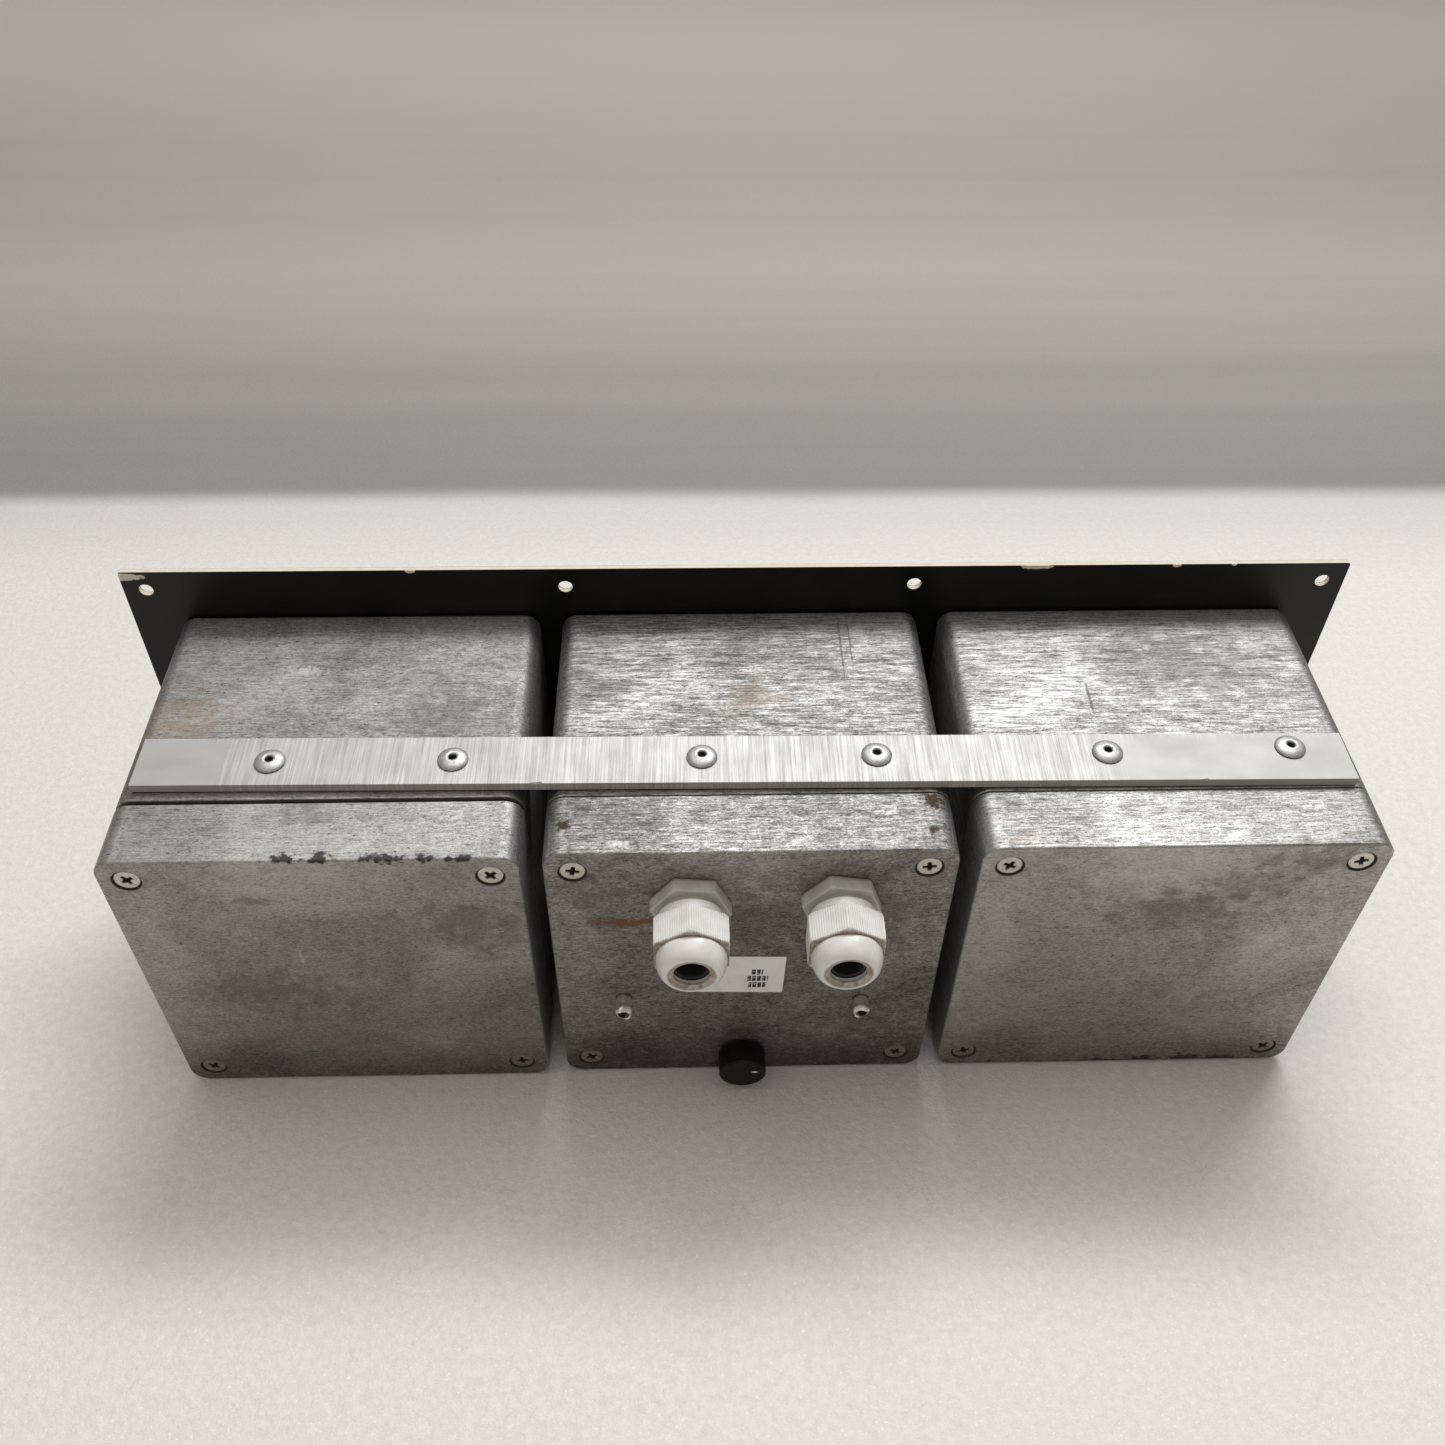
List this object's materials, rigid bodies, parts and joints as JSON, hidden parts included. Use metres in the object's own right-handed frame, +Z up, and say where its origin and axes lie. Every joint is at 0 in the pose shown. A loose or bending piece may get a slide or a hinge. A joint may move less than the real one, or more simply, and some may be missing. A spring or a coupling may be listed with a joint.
{
  "type": "audio patch bay",
  "caption": "Panel-mounted audio patch bay: die-cast boxes of jack sockets behind a drilled panel, with rear cable glands and a level knob.",
  "frame": {"origin": "centre of the underside of the bounding box: level with the panel's bottom edge, midway between the jack noses in front and the gland tips behind", "axes": "+Z up along the panel, +Y from the panel towards the rear lids, +X along the panel to the right as seen from the front"},
  "size_m": [0.415, 0.1404, 0.157],
  "materials": {
    "panel_laminate": "black engraving laminate, satin, with a cream core showing at its edges",
    "cast_aluminium": "bare die-cast aluminium, linished and stained",
    "brushed_strip": "bare aluminium bar, brushed across its width",
    "screw_steel": "dull plated steel",
    "rivet_aluminium": "dull aluminium with a steel mandrel mouth",
    "gasket_rubber": "black sponge rubber",
    "gland_grey": "light grey nylon",
    "gland_white": "off-white nylon, glossy on the dome",
    "seal_rubber": "black rubber",
    "knob_plastic": "black moulded plastic, satin",
    "plated_steel": "zinc-plated steel",
    "circuit_board": "green glass-fibre board",
    "label_paper": "white self-adhesive label",
    "jack_nylon": "black moulded nylon"
  },
  "bodies": {
    "housing": {"front_panel": "panel_laminate", "tie_strip": "brushed_strip", "left_box": "cast_aluminium", "left_lid": "cast_aluminium", "left_gasket": "gasket_rubber", "left_lid_screw_1": "screw_steel", "left_lid_screw_2": "screw_steel", "left_lid_screw_3": "screw_steel", "left_lid_screw_4": "screw_steel", "left_jack_1": "jack_nylon", "left_jack_2": "jack_nylon", "left_jack_3": "jack_nylon", "left_jack_4": "jack_nylon", "middle_box": "cast_aluminium", "middle_lid": "cast_aluminium", "middle_gasket": "gasket_rubber", "middle_lid_screw_1": "screw_steel", "middle_lid_screw_2": "screw_steel", "middle_lid_screw_3": "screw_steel", "middle_lid_screw_4": "screw_steel", "middle_jack_1": "jack_nylon", "middle_jack_2": "jack_nylon", "middle_jack_3": "jack_nylon", "middle_jack_4": "jack_nylon", "right_box": "cast_aluminium", "right_lid": "cast_aluminium", "right_gasket": "gasket_rubber", "right_lid_screw_1": "screw_steel", "right_lid_screw_2": "screw_steel", "right_lid_screw_3": "screw_steel", "right_lid_screw_4": "screw_steel", "right_jack_1": "jack_nylon", "right_jack_2": "jack_nylon", "right_jack_3": "jack_nylon", "right_jack_4": "jack_nylon", "strip_rivet_1": "rivet_aluminium", "strip_rivet_2": "rivet_aluminium", "strip_rivet_3": "rivet_aluminium", "strip_rivet_4": "rivet_aluminium", "strip_rivet_5": "rivet_aluminium", "strip_rivet_6": "rivet_aluminium", "bracket_rivet_1": "rivet_aluminium", "bracket_rivet_2": "rivet_aluminium", "left_gland_body": "gland_grey", "left_gland_locknut": "gland_grey", "left_link_bush": "plated_steel", "right_gland_body": "gland_grey", "right_gland_locknut": "gland_grey", "right_link_bush": "plated_steel", "level_pot": "plated_steel", "level_pot_nut": "plated_steel", "board_bracket": "plated_steel", "circuit_board": "circuit_board", "rear_label": "label_paper"},
    "level_control": {"level_pot_shaft": "plated_steel", "level_knob": "knob_plastic"},
    "left_gland_clamp": {"left_gland_seal": "seal_rubber"},
    "left_gland_cap": {"left_gland_nut": "gland_white"},
    "right_gland_clamp": {"right_gland_seal": "seal_rubber"},
    "right_gland_cap": {"right_gland_nut": "gland_white"}
  },
  "joints": [
    {"name": "level_turn", "type": "hinge", "parent": "housing", "child": "level_control", "pos_m": [0.0009, 0.04275, 0.0299], "axis": [0, 1, 0], "range_deg": [-60, 240]},
    {"name": "left_gland_travel", "type": "slide", "parent": "housing", "child": "left_gland_clamp", "axis": [0, 1, 0], "range_m": [0, 0.003]},
    {"name": "left_gland_turn", "type": "hinge", "parent": "left_gland_clamp", "child": "left_gland_cap", "pos_m": [-0.0276, 0.04275, 0.1156], "axis": [0, 1, 0], "range_deg": [0, 721]},
    {"name": "right_gland_travel", "type": "slide", "parent": "housing", "child": "right_gland_clamp", "axis": [0, 1, 0], "range_m": [0, 0.003]},
    {"name": "right_gland_turn", "type": "hinge", "parent": "right_gland_clamp", "child": "right_gland_cap", "pos_m": [0.0181, 0.04275, 0.1156], "axis": [0, 1, 0], "range_deg": [0, 721]}
  ],
  "couplings": [
    {"joint": "left_gland_turn", "follows": "left_gland_travel", "rad_per_m": 4188.8},
    {"joint": "right_gland_turn", "follows": "right_gland_travel", "rad_per_m": 4188.8}
  ]
}
